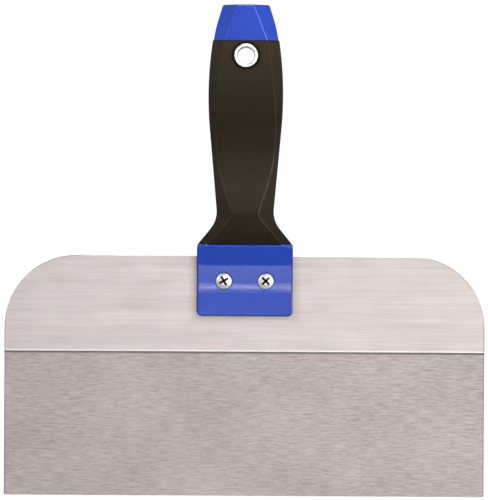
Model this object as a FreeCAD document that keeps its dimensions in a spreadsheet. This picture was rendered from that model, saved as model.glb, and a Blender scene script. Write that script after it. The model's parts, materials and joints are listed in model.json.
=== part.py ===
"""Drywall taping knife: a flexible 10 in blade on a stiff backing plate, held in a moulded handle.

Heights are measured up from the blade's working edge. Each sub-part's Placement then puts the
origin of the whole knife at the centre of its hang hole: +X right, +Y to the back, +Z up the handle.
The handle is the same on both faces and both sides, so one quarter of it is drawn and mirrored.
"""
import FreeCAD, Part
import math
import os
import re
import Sketcher

Vector = FreeCAD.Vector
Placement = FreeCAD.Placement
Rotation = FreeCAD.Rotation

X_AXIS = Vector(1, 0, 0)
Y_AXIS = Vector(0, 1, 0)
Z_AXIS = Vector(0, 0, 1)

DIMENSIONS = {
    # Blade and backing plate
    "blade_half": 127.0,
    "blade_exposed": 76.2,
    "blade_top": 93.4,
    "blade_thickness": 0.5,
    "blade_corner": 0.8,
    "blade_top_corner": 6.0,
    "plate_thickness": 1.2,
    "plate_top": 127.0,
    "plate_corner": 38.1,
    "plate_bottom_corner": 0.5,
    "plate_bevel": 0.3,
    "weld_radius": 2.1,
    "weld_depth": 0.1,
    "weld_height": 84.0,
    "weld_half_run": 111.0,
    "weld_count": 13,
    # Heights that divide the handle
    "hang_height": 232.8,
    "foot_bottom": 95.1,
    "foot_top": 133.1,
    "cap_bottom": 240.9,
    "cap_top": 259.9,
    # Front outline of the handle: half widths
    "foot_half": 25.4,
    "foot_corner": 2.8,
    "flare_half": 25.05,
    "neck_half": 14.65,
    "neck_height": 145.9,
    "neck_round": 14.5,
    "palm_half": 21.0,
    "palm_height": 217.0,
    "palm_round": 200.0,
    "grip_end_half": 17.6,
    "cap_half": 17.2,
    "cap_mid_half": 15.75,
    "cap_mid_height": 248.8,
    "cap_mid_round": 50.0,
    "cap_top_half": 12.3,
    # Side outline of the handle: half depths
    "jaw_depth": 3.8,
    "jaw_bend_height": 110.1,
    "jaw_bend_round": 50.0,
    "shoulder_depth": 5.1,
    "shoulder_height": 122.4,
    "shoulder_round": 4.0,
    "foot_depth": 9.2,
    "flare_depth": 8.8,
    "guard_depth": 13.0,
    "guard_height": 149.5,
    "guard_round": 5.0,
    "waist_depth": 9.7,
    "waist_height": 175.0,
    "waist_round": 70.0,
    "palm_depth": 14.9,
    "palm_depth_height": 213.0,
    "palm_depth_round": 110.0,
    "grip_end_depth": 11.9,
    "cap_depth": 11.5,
    "cap_top_depth": 8.9,
    # Outline square to the bevels: half widths
    "foot_bevel": 26.5,
    "foot_bevel_height": 129.6,
    "foot_top_bevel": 20.7,
    "flare_bevel": 20.3,
    "neck_bevel": 14.0,
    "neck_bevel_height": 147.7,
    "neck_bevel_round": 5.0,
    "palm_bevel": 22.2,
    "palm_bevel_height": 211.0,
    "palm_bevel_round": 125.0,
    "grip_end_bevel": 16.8,
    "cap_bevel": 16.3,
    "cap_top_bevel": 9.3,
    # Rounding of the handle's long edges
    "foot_edge": 0.9,
    "grip_edge": 1.6,
    "cap_edge": 1.3,
    # Spine inside the grip, with flanges that key the soft sleeve to it
    "spine_half": 9.0,
    "spine_depth": 5.5,
    "key_half": 11.5,
    "key_depth": 7.5,
    "key_length": 5.0,
    "key_start": 158.0,
    "key_pitch": 19.0,
    "key_count": 4,
    # Binding screws and their barrel nuts: depths are down from the face of a jaw
    "screw_height": 113.8,
    "screw_half_spacing": 11.1,
    "well_radius": 4.7,
    "well_depth": 0.75,
    "head_radius": 4.4,
    "head_rim": 0.35,
    "dome_height": 0.75,
    "dome_half": 2.6,
    "dome_round": 6.0,
    "shank_radius": 2.0,
    "shank_depth": 5.8,
    "shank_point": 0.4,
    "barrel_radius": 2.9,
    "barrel_depth": 4.4,
    "barrel_floor": 1.6,
    "cross_half": 2.75,
    "cross_wing": 0.62,
    "cross_depth": 1.9,
    "cross_taper": 12.0,
    "slot_half": 0.6,
    "slot_depth": 1.1,
    "screw_left_turn": 30.0,
    "screw_right_turn": 45.0,
    "nut_left_turn": 12.0,
    "nut_right_turn": 74.0,
    # Hang eyelet: lengths are out from the middle of the handle
    "eyelet_bore": 4.55,
    "eyelet_tube": 5.1,
    "eyelet_flange": 6.35,
    "eyelet_tail": 5.8,
    "eyelet_face": 12.0,
    "eyelet_tail_start": 11.45,
    "eyelet_seat": 10.9,
    "eyelet_lip": 0.5,
    "eyelet_mouth": 0.4,
    "eyelet_recess": 7.3,
    "ring_lip": 0.25,
}

doc = FreeCAD.newDocument("taping_knife")
sheet = doc.addObject("Spreadsheet::Sheet", "dims")
for row, (alias, number) in enumerate(DIMENSIONS.items(), start=1):
    sheet.set(f"A{row}", alias)
    sheet.set(f"B{row}", str(number))
    sheet.setAlias(f"B{row}", alias)
doc.recompute()


# Formulas and binding

def formula(text):
    """An expression over the sheet, from a formula that uses its plain cell names."""
    return re.sub(r"[a-z_]+", lambda word: "dims." + word.group(), text)


def size(text):
    """The number that a formula gives now; an empty formula is zero."""
    return float(sheet.evalExpression(formula(text))) if text else 0.0


def bind(item, **formulas):
    """Binds properties to formulas; a double underscore in a property's name stands for a dot."""
    for name, text in formulas.items():
        item.setExpression(name.replace("__", "."), formula(text))


def add(kind, name, shapes=None, **formulas):
    """A document object with bound properties, over the shapes that it fuses or intersects."""
    item = doc.addObject(kind, name)
    if shapes:
        item.Shapes = shapes
    bind(item, **formulas)
    return item


# Sketches

def constrain(sketch, *terms, value=""):
    """Adds a constraint, and binds its datum to a formula where it has one."""
    numbers = [size(value)] if value else []
    index = sketch.addConstraint(Sketcher.Constraint(*terms, *numbers))
    if value:
        sketch.setExpression(f"Constraints[{index}]", formula(value))


def place_point(sketch, geometry, position, x, y):
    """Holds one point of a sketch at two formulas, or on an axis where a formula is empty."""
    for kind, axis, text in (("DistanceX", -2, x), ("DistanceY", -1, y)):
        if text:
            constrain(sketch, kind, -1, 1, geometry, position, value=text)
        else:
            constrain(sketch, "PointOnObject", geometry, position, axis)


def corner_rounds(corners):
    """Each corner's point, with the start, middle and end of its round and whether it turns left."""
    points = [Vector(size(x), size(y), 0) for x, y, _ in corners]
    rounds = []
    for index, (corner, (_, _, radius)) in enumerate(zip(points, corners)):
        back = (points[index - 1] - corner).normalize()
        ahead = (points[(index + 1) % len(points)] - corner).normalize()
        half_angle = back.getAngle(ahead) / 2
        reach = size(radius) / math.tan(half_angle)
        middle = (back + ahead).normalize() * size(radius) * (1 / math.sin(half_angle) - 1)
        turns_left = ahead.cross(back).z > 0
        arrive = corner + back * reach
        leave = corner + ahead * reach
        rounds.append((corner, arrive, corner + middle, leave, turns_left))
    return rounds


def draw_outline(sketch, corners):
    """A closed outline through corners (x, y, radius), each a formula; an empty radius is sharp."""
    rounds = corner_rounds(corners)
    count = len(rounds)
    for index, (_, _, _, leave, _) in enumerate(rounds):
        arrive = rounds[(index + 1) % count][1]
        sketch.addGeometry(Part.LineSegment(leave, arrive), False)
    for index, (corner, arrive, middle, leave, turns_left) in enumerate(rounds):
        x, y, radius = corners[index]
        before = (index - 1) % count
        if not radius:
            constrain(sketch, "Coincident", before, 2, index, 1)
            place_point(sketch, index, 1, x, y)
            continue
        arc = sketch.addGeometry(Part.Arc(arrive, middle, leave), False)
        start, end = (1, 2) if turns_left else (2, 1)
        constrain(sketch, "Tangent", before, 2, arc, start)
        constrain(sketch, "Tangent", arc, end, index, 1)
        constrain(sketch, "Radius", arc, value=radius)
        point = sketch.addGeometry(Part.Point(corner), True)
        constrain(sketch, "PointOnObject", point, 1, before)
        constrain(sketch, "PointOnObject", point, 1, index)
        place_point(sketch, point, 1, x, y)


def plane_sketch(body, name, role, offset=""):
    """An empty sketch on one of a body's own planes, moved along its normal by a formula."""
    sketch = body.newObject("Sketcher::SketchObject", name)
    plane = [feature for feature in body.Origin.OriginFeatures if feature.Role == role]
    sketch.AttachmentSupport = (plane[0], [""])
    sketch.MapMode = "FlatFace"
    if offset:
        bind(sketch, AttachmentOffset__Base__z=offset)
    return sketch


def outline_sketch(body, name, role, corners, offset=""):
    """A closed outline on one of a body's own planes."""
    sketch = plane_sketch(body, name, role, offset)
    draw_outline(sketch, corners)
    doc.recompute()
    return sketch


def circle_sketch(body, name, role, centres, radius, offset=""):
    """Equal circles at centres (x, y) on one of a body's own planes."""
    sketch = plane_sketch(body, name, role, offset)
    for x, y in centres:
        centre = Vector(size(x), size(y), 0)
        circle = sketch.addGeometry(Part.Circle(centre, Z_AXIS, size(radius)), False)
        constrain(sketch, "Radius", circle, value=radius)
        place_point(sketch, circle, 3, x, y)
    doc.recompute()
    return sketch


# Features of a body

def new_body(name, turn=Rotation(), **formulas):
    """A PartDesign body for one piece, turned, and then placed by formulas of x, y and z."""
    body = doc.addObject("PartDesign::Body", name)
    body.Label = name
    body.Placement = Placement(Vector(), turn)
    bind(body, **{f"Placement__Base__{axis}": text for axis, text in formulas.items()})
    return body


def pad(body, name, sketch, length, **settings):
    """A pad of a body's sketch."""
    feature = body.newObject("PartDesign::Pad", name)
    feature.Profile = sketch
    for key, setting in settings.items():
        setattr(feature, key, setting)
    bind(feature, Length=length)
    doc.recompute()


def pocket(body, name, sketch, **formulas):
    """A pocket, turned round if it would miss the solid. It has to remove material."""
    before = body.Shape.Volume
    feature = body.newObject("PartDesign::Pocket", name)
    feature.Profile = sketch
    bind(feature, **formulas)
    doc.recompute()
    if body.Shape.Volume >= before:
        feature.Reversed = True
        doc.recompute()
    if body.Shape.Volume >= before:
        raise RuntimeError(f"{name} cuts nothing")
    return feature


def turned(body, corners):
    """A solid of revolution about a body's own Z axis, from an outline of radius and height."""
    feature = body.newObject("PartDesign::Revolution", body.Name + "_turned")
    sketch = outline_sketch(body, body.Name + "_outline", "XZ_Plane", corners)
    feature.Profile = sketch
    feature.ReferenceAxis = (sketch, ["V_Axis"])
    feature.Angle = 360
    body.Tip = feature
    doc.recompute()


# Blade and backing plate

def make_blade():
    """The thin flexible sheet behind the backing plate, with a row of spot welds on its back."""
    body = new_body("blade", z="-hang_height")
    outline = outline_sketch(body, "blade_outline", "XZ_Plane", [
        ("-blade_half", "", "blade_corner"),
        ("blade_half", "", "blade_corner"),
        ("blade_half", "blade_top", "blade_top_corner"),
        ("-blade_half", "blade_top", "blade_top_corner"),
    ], offset="-plate_thickness / 2")
    pad(body, "blade_sheet", outline, "blade_thickness", Reversed=True)
    first_weld = [("-weld_half_run", "weld_height")]
    weld = circle_sketch(body, "weld_outline", "XZ_Plane", first_weld, "weld_radius",
                         offset="-plate_thickness / 2 - blade_thickness")
    dimple = pocket(body, "weld_dimple", weld, Length="weld_depth")
    row_of_welds = body.newObject("PartDesign::LinearPattern", "weld_row")
    row_of_welds.Originals = [dimple]
    row_of_welds.Direction = (weld, ["H_Axis"])
    bind(row_of_welds, Length="2 * weld_half_run", Occurrences="weld_count")
    body.Tip = row_of_welds


def make_backing_plate():
    """The stiff plate between the handle's jaws, with two holes and a bevelled lower edge."""
    body = new_body("backing_plate", z="-hang_height")
    outline = outline_sketch(body, "plate_outline", "XZ_Plane", [
        ("-blade_half", "blade_exposed", "plate_bottom_corner"),
        ("blade_half", "blade_exposed", "plate_bottom_corner"),
        ("blade_half", "plate_top", "plate_corner"),
        ("-blade_half", "plate_top", "plate_corner"),
    ])
    pad(body, "plate_sheet", outline, "plate_thickness", SideType="Symmetric")
    centres = [("-screw_half_spacing", "screw_height"), ("screw_half_spacing", "screw_height")]
    holes = circle_sketch(body, "plate_holes", "XZ_Plane", centres, "barrel_radius",
                          offset="plate_thickness")
    drilled = pocket(body, "screw_holes", holes, Length="2 * plate_thickness")
    lower_edges = [f"Edge{number}" for number, edge in enumerate(drilled.Shape.Edges, start=1)
                   if edge.Length > size("blade_half") and edge.CenterOfMass.y < 0
                   and edge.CenterOfMass.z < size("plate_top - plate_corner")]
    bevel = body.newObject("PartDesign::Chamfer", "lower_edge_bevel")
    bevel.Base = (drilled, lower_edges)
    bind(bevel, Size="plate_bevel")
    body.Tip = bevel


# Handle

def outline_prism(name, azimuth, corners):
    """A half outline from the handle's axis outward, drawn upright at an azimuth and extruded."""
    sketch = add("Sketcher::SketchObject", name + "_outline")
    sketch.Placement = Placement(Vector(), Rotation(Z_AXIS, azimuth) * Rotation(X_AXIS, 90))
    draw_outline(sketch, [("", "foot_bottom", "")] + corners + [("", "cap_top", "")])
    prism = add("Part::Extrusion", name + "_prism", LengthFwd="4 * foot_half")
    prism.Base = sketch
    prism.DirMode = "Normal"
    prism.Solid = True
    prism.Symmetric = True
    return prism


def handle_quarter():
    """One quarter of the handle: what its front, side and bevel outlines have in common."""
    front = outline_prism("front", 0, [
        ("foot_half", "foot_bottom", "foot_corner"),
        ("foot_half", "foot_top", ""),
        ("flare_half", "foot_top", ""),
        ("neck_half", "neck_height", "neck_round"),
        ("palm_half", "palm_height", "palm_round"),
        ("grip_end_half", "cap_bottom", ""),
        ("cap_half", "cap_bottom", ""),
        ("cap_mid_half", "cap_mid_height", "cap_mid_round"),
        ("cap_top_half", "cap_top", ""),
    ])
    side = outline_prism("side", 90, [
        ("jaw_depth", "foot_bottom", ""),
        ("jaw_depth", "jaw_bend_height", "jaw_bend_round"),
        ("shoulder_depth", "shoulder_height", "shoulder_round"),
        ("foot_depth", "foot_top", ""),
        ("flare_depth", "foot_top", ""),
        ("guard_depth", "guard_height", "guard_round"),
        ("waist_depth", "waist_height", "waist_round"),
        ("palm_depth", "palm_depth_height", "palm_depth_round"),
        ("grip_end_depth", "cap_bottom", ""),
        ("cap_depth", "cap_bottom", ""),
        ("cap_top_depth", "cap_top", ""),
    ])
    bevel = outline_prism("bevel", 45, [
        ("foot_bevel", "foot_bottom", ""),
        ("foot_bevel", "foot_bevel_height", ""),
        ("foot_top_bevel", "foot_top", ""),
        ("flare_bevel", "foot_top", ""),
        ("neck_bevel", "neck_bevel_height", "neck_bevel_round"),
        ("palm_bevel", "palm_bevel_height", "palm_bevel_round"),
        ("grip_end_bevel", "cap_bottom", ""),
        ("cap_bevel", "cap_bottom", ""),
        ("cap_top_bevel", "cap_top", ""),
    ])
    return add("Part::MultiCommon", "quarter", [front, side, bevel])


def is_crease(shape, edge):
    """True where the two faces that meet at an edge aren't smooth with each other."""
    middle = edge.valueAt((edge.FirstParameter + edge.LastParameter) / 2)
    faces = shape.ancestorsOfType(edge, Part.Face)
    normals = [face.normalAt(*face.Surface.parameter(middle)) for face in faces]
    return len(normals) == 2 and normals[0].getAngle(normals[1]) > math.radians(4)


def round_creases(name, piece, radius, flat_heights):
    """Rounds a quarter's outer creases, but not its cut faces or the edges at the flat heights."""
    doc.recompute()
    tolerance = 0.01
    edges = []
    for number, edge in enumerate(piece.Shape.Edges, start=1):
        box = edge.BoundBox
        on_mirror = box.XMax < tolerance or box.YMax < tolerance
        on_flat = any(max(abs(box.ZMin - size(level)), abs(box.ZMax - size(level))) < tolerance
                      for level in flat_heights)
        if not on_mirror and not on_flat and is_crease(piece.Shape, edge):
            edges.append((number, size(radius), size(radius)))
    fillet = add("Part::Fillet", name)
    fillet.Base = piece
    fillet.Edges = edges
    return fillet


def mirrored_pair(name, piece, normal):
    """A piece and its mirror image in one solid."""
    image = add("Part::Mirroring", name + "_image")
    image.Source = piece
    image.Normal = normal
    pair = add("Part::MultiFuse", name, [piece, image])
    pair.Refine = True
    return pair


def handle_zone(name, quarter, bottom, top, radius, flat_heights):
    """The whole handle between two heights, with its creases rounded."""
    block = add("Part::Box", name + "_block", Length="2 * foot_half", Width="2 * foot_half",
                Height=f"{top} - {bottom}", Placement__Base__z=bottom)
    piece = add("Part::MultiCommon", name + "_quarter", [quarter, block])
    rounded = round_creases(name + "_rounded", piece, radius, flat_heights)
    half = mirrored_pair(name + "_half", rounded, X_AXIS)
    return mirrored_pair(name + "_zone", half, Y_AXIS)


def centred_block(name, half_width, half_depth, bottom, top):
    """A block about the handle's axis between two heights."""
    return add("Part::Box", name, Length=f"2 * {half_width}", Width=f"2 * {half_depth}",
               Height=f"{top} - {bottom}", Placement__Base__x=f"-{half_width}",
               Placement__Base__y=f"-{half_depth}", Placement__Base__z=bottom)


def crosswise(kind, name, near, far, x, height, **radii):
    """A cylinder or cone along Y from the near formula of y to the far one."""
    item = doc.addObject(kind, name)
    item.Placement = Placement(Vector(), Rotation(X_AXIS, -90))
    bind(item, Height=f"{far} - ({near})", Placement__Base__x=x, Placement__Base__y=near,
         Placement__Base__z=height, **radii)
    return item


def screw_seat(side, face, hole):
    """The well, countersink and hole for one head, in the front or back jaw, left or right."""
    name = f"{face}_{side}"
    x = "-screw_half_spacing" if side == "left" else "screw_half_spacing"
    countersink_start = f"jaw_depth - well_depth - head_radius + {hole}"
    levels = ["0", countersink_start, "jaw_depth - well_depth", "2 * foot_depth"]
    kinds = [("Part::Cylinder", "hole", {"Radius": hole}),
             ("Part::Cone", "countersink", {"Radius1": hole, "Radius2": "head_radius"}),
             ("Part::Cylinder", "well", {"Radius": "well_radius"})]
    cutters = []
    for (kind, part, radii), inner, outer in zip(kinds, levels, levels[1:]):
        near, far = inner, outer
        if face == "front":
            near, far = f"-({outer})", f"-({inner})"
            if kind == "Part::Cone":
                radii = {"Radius1": radii["Radius2"], "Radius2": radii["Radius1"]}
        cutters.append(crosswise(kind, f"{name}_{part}", near, far, x, "screw_height", **radii))
    return cutters


def make_handle():
    """The blue core, with its foot, spine and cap, and the soft sleeve moulded around the spine."""
    quarter = handle_quarter()
    foot = handle_zone("foot", quarter, "foot_bottom", "foot_top", "foot_edge", [])
    grip = handle_zone("grip", quarter, "foot_top", "cap_bottom", "grip_edge",
                       ["foot_top", "cap_bottom"])
    cap = handle_zone("cap", quarter, "cap_bottom", "cap_top", "cap_edge", ["cap_bottom"])
    ribs = [centred_block("spine", "spine_half", "spine_depth", "foot_top", "cap_bottom")]
    for number in range(int(size("key_count"))):
        bottom = f"(key_start + {number} * key_pitch)"
        top = f"{bottom} + key_length"
        ribs.append(centred_block(f"key_{number + 1}", "key_half", "key_depth", bottom, top))
    bone = add("Part::MultiFuse", "bone", ribs)
    slot = centred_block("slot", "foot_half", "(plate_thickness / 2)", "foot_bottom", "plate_top")
    end = "2 * eyelet_face"
    tube, front_recess, back_recess = [
        crosswise("Part::Cylinder", name, near, far, "0", "hang_height", Radius=radius)
        for name, near, far, radius in (
            ("eyelet_hole", f"-{end}", end, "eyelet_tube"),
            ("front_recess", f"-{end}", "-eyelet_seat", "eyelet_recess"),
            ("back_recess", "eyelet_seat", end, "eyelet_recess"))]
    seats = []
    for side in ("left", "right"):
        seats += screw_seat(side, "front", "shank_radius") + screw_seat(side, "back", "barrel_radius")
    core_blank = add("Part::MultiFuse", "core_blank", [foot, bone, cap])
    core_cuts = add("Part::MultiFuse", "core_cuts", [slot, tube] + seats)
    sleeve_cuts = add("Part::MultiFuse", "sleeve_cuts", [bone, tube, front_recess, back_recess])
    pieces = (("handle_core", core_blank, core_cuts), ("grip_sleeve", grip, sleeve_cuts))
    for name, blank, cuts in pieces:
        piece = add("Part::Cut", name, Placement__Base__z="-hang_height")
        piece.Base = blank
        piece.Tool = cuts
        piece.Refine = True
        piece.Label = name


# Screws, barrel nuts and eyelet

FRONT = 90
BACK = -90


def fastener(name, facing, turn, x, inner_corners):
    """A countersunk head at a jaw's face, over a shank or barrel given by its own corners."""
    face_y = "-jaw_depth" if facing == FRONT else "jaw_depth"
    body = new_body(name, Rotation(X_AXIS, facing) * Rotation(Z_AXIS, size(turn)),
                    x=x, y=face_y, z="screw_height - hang_height")
    turned(body, inner_corners + [
        ("head_radius", "-well_depth", ""),
        ("head_radius", "head_rim - well_depth", ""),
        ("dome_half", "dome_height", "dome_round"),
        ("", "dome_height", ""),
    ])
    return body


def negated(name):
    """The same cell with its sign turned round."""
    return name[1:] if name.startswith("-") else "-" + name


def make_screw(name, turn, x):
    """A raised countersunk screw with a tapered cross recess, in the front jaw."""
    body = fastener(name, FRONT, turn, x, [
        ("", "-shank_depth", ""),
        ("shank_radius - shank_point", "-shank_depth", ""),
        ("shank_radius", "shank_point - shank_depth", ""),
        ("shank_radius", "shank_radius - head_radius - well_depth", ""),
    ])
    arm = [("cross_half", "-cross_wing"), ("cross_half", "cross_wing"), ("cross_wing", "cross_wing")]
    corners = []
    for quarter in range(4):
        for x_name, y_name in arm:
            corners.append((x_name, y_name, ""))
        arm = [(negated(y_name), x_name) for x_name, y_name in arm]
    cross = outline_sketch(body, name + "_cross", "XY_Plane", corners, offset="dome_height")
    pocket(body, name + "_recess", cross, Length="cross_depth", TaperAngle="-cross_taper")


def make_barrel_nut(name, turn, x):
    """The slotted barrel nut that a screw runs into, in the back jaw and through the plate."""
    body = fastener(name, BACK, turn, x, [
        ("", "-barrel_floor", ""),
        ("shank_radius", "-barrel_floor", ""),
        ("shank_radius", "-barrel_depth", ""),
        ("barrel_radius", "-barrel_depth", ""),
        ("barrel_radius", "barrel_radius - head_radius - well_depth", ""),
    ])
    slot = outline_sketch(body, name + "_slot", "XY_Plane", [
        ("-well_radius", "-slot_half", ""),
        ("well_radius", "-slot_half", ""),
        ("well_radius", "slot_half", ""),
        ("-well_radius", "slot_half", ""),
    ], offset="dome_height")
    pocket(body, name + "_groove", slot, Length="slot_depth")


def make_eyelet():
    """The flanged tube through the handle, and the ring that its tail is rolled over at the back."""
    eyelet = new_body("hang_eyelet", Rotation(X_AXIS, FRONT))
    turned(eyelet, [
        ("eyelet_bore", "-eyelet_face", "eyelet_mouth"),
        ("eyelet_tail", "-eyelet_face", "ring_lip"),
        ("eyelet_tail", "-eyelet_tail_start", ""),
        ("eyelet_tube", "-eyelet_tail_start", ""),
        ("eyelet_tube", "eyelet_seat", ""),
        ("eyelet_flange", "eyelet_seat", ""),
        ("eyelet_flange", "eyelet_face", "eyelet_lip"),
        ("eyelet_bore", "eyelet_face", "eyelet_mouth"),
    ])
    ring = new_body("eyelet_ring", Rotation(X_AXIS, FRONT))
    turned(ring, [
        ("eyelet_tube", "-eyelet_tail_start", ""),
        ("eyelet_flange", "-eyelet_tail_start", "ring_lip"),
        ("eyelet_flange", "-eyelet_seat", ""),
        ("eyelet_tube", "-eyelet_seat", ""),
    ])


make_blade()
make_backing_plate()
make_handle()
make_eyelet()
for side, x in (("left", "-screw_half_spacing"), ("right", "screw_half_spacing")):
    make_screw(f"screw_{side}", f"screw_{side}_turn", x)
    make_barrel_nut(f"barrel_nut_{side}", f"nut_{side}_turn", x)

SUB_PARTS = ["blade", "backing_plate", "handle_core", "grip_sleeve", "hang_eyelet", "eyelet_ring",
             "screw_left", "screw_right", "barrel_nut_left", "barrel_nut_right"]
doc.recompute()
for item in doc.Objects:
    if {"Invalid", "Error"} & set(item.State):
        raise RuntimeError(f"{item.Name} failed: {item.State}")
for name in SUB_PARTS:
    shape = doc.getObject(name).Shape
    if shape.isNull() or not shape.isValid() or len(shape.Solids) != 1:
        raise RuntimeError(f"{name} isn't one valid solid")

os.makedirs("parts", exist_ok=True)
for name in SUB_PARTS:
    item = doc.getObject(name)
    item.Shape.exportStep(f"parts/{item.Label}.step")
    print(f"{name}: {item.Shape.Volume:.1f} cubic mm")
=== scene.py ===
"""Studio scene and finishes for the drywall taping knife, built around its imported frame."""
import json
import math
import bpy
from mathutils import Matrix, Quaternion, Vector


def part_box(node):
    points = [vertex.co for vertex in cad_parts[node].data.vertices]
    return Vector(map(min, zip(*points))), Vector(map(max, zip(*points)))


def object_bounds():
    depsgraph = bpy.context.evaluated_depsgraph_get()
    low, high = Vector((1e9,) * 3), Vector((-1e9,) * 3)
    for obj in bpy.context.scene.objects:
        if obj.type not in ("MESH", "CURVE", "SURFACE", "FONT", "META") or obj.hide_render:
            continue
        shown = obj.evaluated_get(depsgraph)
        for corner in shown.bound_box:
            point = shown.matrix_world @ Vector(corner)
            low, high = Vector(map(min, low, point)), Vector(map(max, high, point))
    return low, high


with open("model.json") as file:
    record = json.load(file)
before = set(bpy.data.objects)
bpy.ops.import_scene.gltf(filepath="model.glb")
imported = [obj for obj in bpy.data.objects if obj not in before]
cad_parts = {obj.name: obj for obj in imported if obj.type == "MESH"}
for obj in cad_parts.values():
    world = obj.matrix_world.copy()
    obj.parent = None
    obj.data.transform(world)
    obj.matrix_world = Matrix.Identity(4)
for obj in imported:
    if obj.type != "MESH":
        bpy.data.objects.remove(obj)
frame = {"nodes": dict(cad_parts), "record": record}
nodes = frame["nodes"]
cad_low, cad_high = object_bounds()
middle = (cad_low + cad_high) / 2
MM = 0.001


# Node graphs

class Graph:
    """A short way to write a material's or world's nodes. Sockets are linked, and plain values are set."""

    def __init__(self, owner, shader="Principled BSDF"):
        owner.use_nodes = True
        self.owner = owner
        self.tree = owner.node_tree
        self.shader = self.tree.nodes[shader]
        coordinates = self.tree.nodes.new("ShaderNodeTexCoord").outputs
        self.place = coordinates["Object"]
        self.normal = coordinates["Normal"]
        self.direction = coordinates["Generated"]

    def fill(self, socket, value):
        """Links a socket to another one, or sets its value."""
        if isinstance(value, bpy.types.NodeSocket):
            self.tree.links.new(value, socket)
        elif value is not None:
            socket.default_value = value

    def node(self, kind, inputs, output=0, **settings):
        """A node with its settings and its inputs, by index or name. Returns one output."""
        node = self.tree.nodes.new(kind)
        for key, setting in settings.items():
            setattr(node, key, setting)
        for key, value in inputs.items():
            self.fill(node.inputs[key], value)
        return node.outputs[output]

    def math(self, operation, first, second=None):
        return self.node("ShaderNodeMath", {0: first, 1: second}, operation=operation)

    def vector(self, operation, first, second=None, output=0):
        return self.node("ShaderNodeVectorMath", {0: first, 1: second}, output, operation=operation)

    def weigh(self, *shares):
        """The sum of some values, each times its weight."""
        total = 0.0
        for value, weight in shares:
            total = self.node("ShaderNodeMath", {0: value, 1: weight, 2: total}, operation="MULTIPLY_ADD")
        return total

    def noise(self, density, detail=2.0, roughness=0.5, place=None):
        """Noise with so many features in a metre along each axis."""
        scaled = self.node("ShaderNodeMapping", {"Vector": place or self.place, "Scale": density})
        return self.node("ShaderNodeTexNoise",
                         {"Vector": scaled, "Scale": 1.0, "Detail": detail, "Roughness": roughness})

    def ramp(self, value, low, high, to_low=0.0, to_high=1.0, **settings):
        """Maps a range of a value onto another range, and clamps it there."""
        inputs = {0: value, 1: low, 2: high, 3: to_low, 4: to_high}
        return self.node("ShaderNodeMapRange", inputs, **settings)

    def blend(self, amount, first, second):
        """A colour between two others."""
        return self.node("ShaderNodeMix", {"Factor": amount, 6: first, 7: second}, output=2, data_type="RGBA")

    def tint(self, tone, dark, light, spread=0.12):
        """A colour between two others, from a noise whose middle is 0.5."""
        return self.blend(self.ramp(tone, 0.5 - spread, 0.5 + spread), dark, light)

    def vary(self, noise, smallest, largest):
        """A value between two others, from a noise that mostly keeps between 0.3 and 0.7."""
        return self.ramp(noise, 0.3, 0.7, smallest, largest)

    def bump(self, height, distance, strength):
        """A normal from a height of 0 to 1 that stands for a distance in metres."""
        return self.node("ShaderNodeBump", {"Height": height, "Distance": distance, "Strength": strength})

    def axis(self, name, place=None):
        """One coordinate of a place."""
        return self.node("ShaderNodeSeparateXYZ", {0: place or self.place}, output="XYZ".index(name))

    def aside(self, place=None):
        """Distance to the left or right of the middle."""
        return self.math("ABSOLUTE", self.axis("X", place))

    def from_axis(self, name):
        """Distance from the front-to-back line through the middle of a node's box."""
        low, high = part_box(name)
        away = self.vector("SUBTRACT", self.place, (low + high) / 2)
        return self.vector("LENGTH", self.vector("MULTIPLY", away, (1, 0, 1)), output="Value")

    def near(self, name, level, reach, strength=1.0):
        """A strength at one level of an axis, falling to 0 at a reach to each side of it."""
        away = self.math("ABSOLUTE", self.math("SUBTRACT", self.axis(name), level))
        return self.ramp(away, 0.0, reach, strength, 0.0)

    def side_edges(self, half_width, reach, strength):
        """A strength at the left and right edges of a piece, and 0 from a reach inward."""
        return self.ramp(self.aside(), half_width - reach, half_width - reach / 3, 0.0, strength)

    def finish(self, **inputs):
        """Fills the shader's own sockets; an underscore stands for a space. Returns the material or world."""
        for name, value in inputs.items():
            self.fill(self.shader.inputs[name.replace("_", " ")], value)
        return self.owner


def material(name):
    return Graph(bpy.data.materials.new(name))


def colour(red, green, blue):
    """A linear colour from display values of 0 to 255."""
    def linear(value):
        value /= 255
        return value / 12.92 if value <= 0.04045 else ((value + 0.055) / 1.055) ** 2.4
    return (linear(red), linear(green), linear(blue), 1.0)


def grey(level):
    """A linear grey of 0 to 1."""
    return (level, level, level, 1.0)


# Finishes

def plate_steel():
    """Stiff stainless plate: straight brushing, a painted highlight on its lower edge, painted shade round
    the foot, painted shade along its side edges.
    """
    g = material("plate_steel")
    low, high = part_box("backing_plate")
    foot_low, foot_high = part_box("handle_core")
    hairlines = g.noise((28, 50, 1500), detail=3, roughness=0.65)
    bands = g.noise((7, 20, 330))
    mottle = g.noise((45, 45, 120))
    tone = g.weigh((hairlines, 0.50), (bands, 0.28), (mottle, 0.22))
    steel = g.tint(tone, dark=colour(190, 180, 177), light=colour(215, 205, 202))
    # Painted shade: the plate darkens beside and under the foot, where the foot's shadow falls.
    beside_foot = g.math("SUBTRACT", g.aside(), foot_high.x)
    below_foot = g.math("SUBTRACT", foot_low.z, g.axis("Z"))
    painted_shade = g.ramp(g.math("MAXIMUM", beside_foot, below_foot), 0.0, 4.5 * MM, to_low=0.30, to_high=0.0)
    steel = g.blend(painted_shade, steel, colour(120, 108, 104))
    # Painted highlight: a near-white line along the plate's lower edge.
    painted_edge_highlight = g.near("Z", low.z, reach=1.2 * MM, strength=1.3)
    steel = g.blend(painted_edge_highlight, steel, colour(255, 252, 248))
    # Painted shade: a darker strip along the left and right edges.
    painted_side_shade = g.side_edges(high.x, reach=0.7 * MM, strength=0.5)
    return g.finish(
        Base_Color=g.blend(painted_side_shade, steel, colour(120, 110, 108)),
        Metallic=1.0,
        Roughness=g.vary(hairlines, 0.36, 0.50),
        Normal=g.bump(hairlines, distance=0.02 * MM, strength=0.3))


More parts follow.
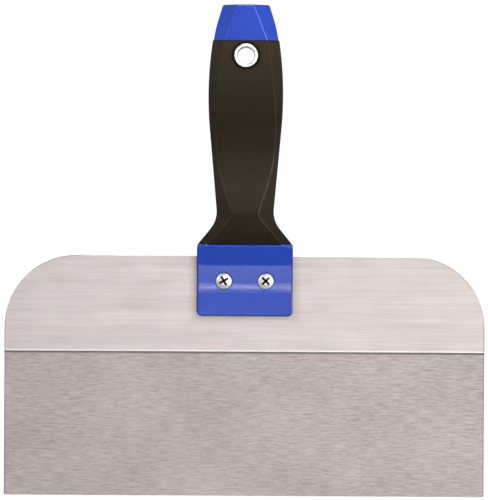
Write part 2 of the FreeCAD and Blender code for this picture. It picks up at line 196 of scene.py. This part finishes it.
def blade_steel():
    """Thin stainless sheet: a short wavy cross-rolled grain, a painted shadow along the plate's edge, painted
    shade along its side edges.
    """
    g = material("blade_steel")
    low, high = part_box("blade")
    plate_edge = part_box("backing_plate")[0].z
    wander = g.math("MULTIPLY", g.math("SUBTRACT", g.noise((55, 55, 55)), 0.5), 2.8 * MM)
    wavy_height = g.math("ADD", g.axis("Z"), wander)
    wavy = g.node("ShaderNodeCombineXYZ", {"X": g.axis("X"), "Y": g.axis("Y"), "Z": wavy_height})
    grain = g.noise((130, 60, 1150), roughness=0.60, place=wavy)
    fine = g.noise((420, 60, 2600), place=wavy)
    cloud = g.noise((22, 22, 36))
    tone = g.weigh((grain, 0.60), (fine, 0.25), (cloud, 0.15))
    steel = g.tint(tone, dark=colour(153, 143, 139), light=colour(197, 186, 182), spread=0.14)
    # Painted shadow: a dark line on the blade's front just under the plate's lower edge.
    front_only = g.ramp(g.axis("Y"), low.y, low.y + 0.2 * MM, to_low=0.72, to_high=0.0)
    painted_seam_shadow = g.math("MULTIPLY", g.near("Z", plate_edge - 0.35 * MM, reach=1.1 * MM), front_only)
    steel = g.blend(painted_seam_shadow, steel, colour(52, 47, 45))
    # Painted shade: a darker strip along the left and right edges.
    painted_side_shade = g.side_edges(high.x, reach=0.8 * MM, strength=0.5)
    return g.finish(
        Base_Color=g.blend(painted_side_shade, steel, colour(100, 92, 90)),
        Metallic=1.0,
        Roughness=g.vary(grain, 0.40, 0.52),
        Normal=g.bump(g.weigh((grain, 1.0), (fine, 0.4)), distance=0.03 * MM, strength=0.4))


def blue_plastic():
    """Semi-gloss moulded plastic with a faint orange peel, cloudy pigment and painted shade on its outer
    edges.
    """
    g = material("blue_plastic")
    low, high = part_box("handle_core")
    shading = {"reach": 1.0 * MM, "strength": 0.55}
    peel = g.noise((900, 900, 900))
    cloud = g.noise((130, 130, 200), detail=3)
    plastic = g.tint(cloud, dark=colour(8, 56, 167), light=colour(15, 62, 176), spread=0.2)
    # Painted shade: the plastic darkens at its bottom and top ends and at its left and right edges.
    ends = g.math("MAXIMUM", g.near("Z", low.z, **shading), g.near("Z", high.z, **shading))
    rim = g.math("MAXIMUM", ends, g.side_edges(high.x, **shading))
    return g.finish(
        Base_Color=g.blend(rim, plastic, colour(14, 26, 96)),
        Roughness=g.vary(peel, 0.17, 0.24),
        Normal=g.bump(peel, distance=0.03 * MM, strength=0.4))


def black_grip():
    """Soft-touch overmould: matte, finely grained, brownish black, with painted light on its lower and upper
    parts, painted highlights along its lower creases, and painted shade at its joints and round the eyelet.
    """
    g = material("black_grip")
    low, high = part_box("grip_sleeve")
    span = high.z - low.z
    crease_slant = 0.38  # Sideways part of the normal half way round a crease
    grain = g.noise((2600, 2600, 2600), detail=3, roughness=0.6)
    blotch = g.noise((90, 90, 120), detail=3)
    rubber = g.tint(blotch, dark=colour(18, 13, 6), light=colour(25, 19, 11), spread=0.2)
    # Painted light: the rubber is lighter on its lower and upper parts, where its slopes face the light.
    lower_painted_light = g.near("Z", low.z + 0.29 * span, reach=0.30 * span, strength=0.6)
    upper_painted_light = g.near("Z", high.z, reach=0.42 * span, strength=0.6)
    rubber = g.blend(g.math("MAXIMUM", lower_painted_light, upper_painted_light), rubber, colour(51, 43, 33))
    # Painted highlight: light streaks along the creases, strongest on the lower grip.
    off_crease = g.math("ABSOLUTE", g.math("SUBTRACT", g.aside(g.normal), crease_slant))
    crease = g.ramp(off_crease, 0.05, 0.28, to_low=1.0, to_high=0.0)
    low_down = g.near("Z", low.z + 0.30 * span, reach=0.25 * span)
    crease_highlight_span = g.ramp(low_down, 0.0, 0.6, to_low=0.2, to_high=0.9)
    uneven = g.ramp(blotch, 0.38, 0.62, to_low=0.35, to_high=1.0)
    painted_crease_highlight = g.math("MULTIPLY", crease, g.math("MULTIPLY", crease_highlight_span, uneven))
    rubber = g.blend(painted_crease_highlight, rubber, colour(74, 64, 52))
    # Painted shade: near-black in the gaps at both ends of the grip and in the recess round the eyelet.
    joints = g.math("MAXIMUM", g.near("Z", low.z, reach=0.9 * MM), g.near("Z", high.z, reach=0.9 * MM))
    recess = g.ramp(g.from_axis("hang_eyelet"), 7.4 * MM, 8.4 * MM, to_low=1.0, to_high=0.0)
    return g.finish(
        Base_Color=g.blend(g.math("MAXIMUM", joints, recess), rubber, colour(10, 8, 6)),
        Roughness=g.vary(grain, 0.40, 0.52),
        Specular_IOR_Level=0.20,
        Specular_Tint=colour(255, 232, 190),
        Normal=g.bump(grain, distance=0.05 * MM, strength=0.5))


def bright_plating(name, painted_shade=None, shading=None):
    """Satin nickel plate, clouded by handling, with a darker colour where a function gives painted shade."""
    g = material(name)
    spots = g.noise((500, 500, 500), detail=3)
    nickel = g.tint(spots, dark=colour(238, 235, 232), light=colour(252, 250, 248))
    return g.finish(
        Base_Color=g.blend(painted_shade(g), nickel, shading) if painted_shade else nickel,
        Metallic=1.0,
        Roughness=g.vary(spots, 0.38, 0.46))


def screw_plating(name):
    """Plating with painted shade inside the screw's cross recess, below its dome."""
    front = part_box(name)[0].y

    def recess(g):
        # Painted shade: near-black inside the cross recess.
        cross = g.ramp(g.from_axis(name), 2.7 * MM, 3.0 * MM, to_low=1.0, to_high=0.0)
        depth = g.ramp(g.axis("Y"), front + 0.12 * MM, front + 0.6 * MM)
        return g.math("MULTIPLY", cross, depth)
    return bright_plating(name + "_plating", recess, colour(16, 13, 9))


def eyelet_plating():
    """Plating with grey painted shade down the eyelet's bore and on the lip of it."""
    def bore(g):
        # Painted shade: grey down the bore and on its lip.
        return g.ramp(g.from_axis("hang_eyelet"), 4.6 * MM, 5.1 * MM, to_low=0.7, to_high=0.0)
    return bright_plating("eyelet_plating", bore, colour(125, 121, 117))


FINISHES = {
    "blade_steel": blade_steel(),
    "plate_steel": plate_steel(),
    "blue_plastic": blue_plastic(),
    "black_grip": black_grip(),
    "bright_plating": bright_plating("bright_plating"),
}
OWN_FINISHES = {
    "screw_left": screw_plating("screw_left"),
    "screw_right": screw_plating("screw_right"),
    "hang_eyelet": eyelet_plating(),
}
for part in frame["record"]["subparts"]:
    mesh = nodes[part["node"]].data
    mesh.materials.clear()
    mesh.materials.append(OWN_FINISHES.get(part["node"], FINISHES[part["material_slot"]]))


# Stage, in metres and watts

FRONT_LIGHT = 0.50
BACK_LIGHT = 1.04
CAMERA_DISTANCE = 3.5
SENSOR_WIDTH = 36 * MM
STRIP_DROP = 0.182  # Puts the strip's reflection on the slope of the foot
FLOOR_SIDES = 96


def add_floor(drop, radius, near_white, far_white):
    """A pale round floor under the knife that fades outward to the white of the studio."""
    height = cad_low.z - drop
    vertices = [(0, 0, height)]
    for step in range(FLOOR_SIDES):
        angle = 2 * math.pi * step / FLOOR_SIDES
        vertices.append((radius * math.cos(angle), radius * math.sin(angle), height))
    faces = [(0, 1 + step, 1 + (step + 1) % FLOOR_SIDES) for step in range(FLOOR_SIDES)]
    mesh = bpy.data.meshes.new("floor")
    mesh.from_pydata(vertices, [], faces)
    g = material("floor")
    distance = g.vector("LENGTH", g.vector("MULTIPLY", g.place, (1, 1, 0)), output="Value")
    paper = g.blend(g.noise((30, 30, 30)), grey(0.54), grey(0.56))
    white = g.ramp(distance, near_white, far_white)
    glow = g.ramp(g.axis("Y"), -far_white, far_white, FRONT_LIGHT, BACK_LIGHT)
    mesh.materials.append(g.finish(
        Base_Color=g.blend(white, paper, grey(0.0)),
        Specular_IOR_Level=0.0,
        Roughness=0.9,
        Emission_Color=grey(1.0),
        Emission_Strength=g.math("MULTIPLY", white, glow)))
    floor = bpy.data.objects.new("floor", mesh)
    bpy.context.scene.collection.objects.link(floor)


def add_light(name, place, target, size, power):
    """A rectangular soft light aimed at a point."""
    data = bpy.data.lights.new(name, "AREA")
    data.shape = "RECTANGLE"
    data.size, data.size_y = size
    data.energy = power
    lamp = bpy.data.objects.new(name, data)
    lamp.location = place
    lamp.visible_camera = False
    lamp.rotation_mode = "QUATERNION"
    lamp.rotation_quaternion = (target - Vector(place)).to_track_quat("-Z", "Y")
    bpy.context.scene.collection.objects.link(lamp)


def add_camera(fill, roll, aside, above):
    """A long lens looking along +Y, just aside of the knife's middle, which fills most of the height."""
    view_height = (cad_high.z - cad_low.z) / fill
    data = bpy.data.cameras.new("camera")
    data.sensor_width = SENSOR_WIDTH / MM
    data.lens = data.sensor_width * CAMERA_DISTANCE / view_height
    data.clip_end = 20
    camera = bpy.data.objects.new("camera", data)
    camera.location = middle + Vector((aside, -CAMERA_DISTANCE, above))
    camera.rotation_mode = "QUATERNION"
    look = Vector((0, 1, 0)).to_track_quat("-Z", "Y")
    camera.rotation_quaternion = look @ Quaternion((0, 0, 1), math.radians(roll))
    bpy.context.scene.collection.objects.link(camera)
    bpy.context.scene.camera = camera


def add_world(overhead, fade_start, fade_end):
    """A white studio behind the knife, dimmer in front of it and overhead."""
    g = Graph(bpy.data.worlds.new("studio"), "Background")
    level = g.ramp(g.axis("Y", g.direction), -1.0, 1.0, FRONT_LIGHT, BACK_LIGHT)
    fade = g.ramp(g.axis("Z", g.direction), fade_start, fade_end, 1.0, overhead,
                  interpolation_type="SMOOTHSTEP")
    bpy.context.scene.world = g.finish(Color=grey(1.0), Strength=g.math("MULTIPLY", level, fade))


bpy.context.scene.view_settings.view_transform = "Standard"
add_camera(fill=0.982, roll=0.33, aside=-0.5 * MM, above=0.2 * MM)
add_world(overhead=0.15, fade_start=0.25, fade_end=0.9)
add_floor(drop=0.10, radius=8.0, near_white=0.45, far_white=1.2)
foot = (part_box("screw_left")[0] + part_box("screw_right")[1]) / 2
add_light("key", place=(0.45, -1.2, 0.55), target=middle, size=(0.65, 0.5), power=6.8)
add_light("top", place=(0.06, -0.10, 0.45), target=middle, size=(0.25, 0.12), power=1.4)
add_light("strip", place=(0.0, -1.4, foot.z - STRIP_DROP), target=foot, size=(0.22, 0.05), power=1.15)
add_light("left_softbox", place=(-0.8, -0.8, 0.0), target=middle, size=(0.2, 0.7), power=0.25)
add_light("left_high", place=(-0.82, -0.74, 0.50), target=middle, size=(0.4, 0.6), power=2.4)
add_light("right_softbox", place=(0.8, -0.8, -0.15), target=middle, size=(0.25, 0.32), power=3.8)
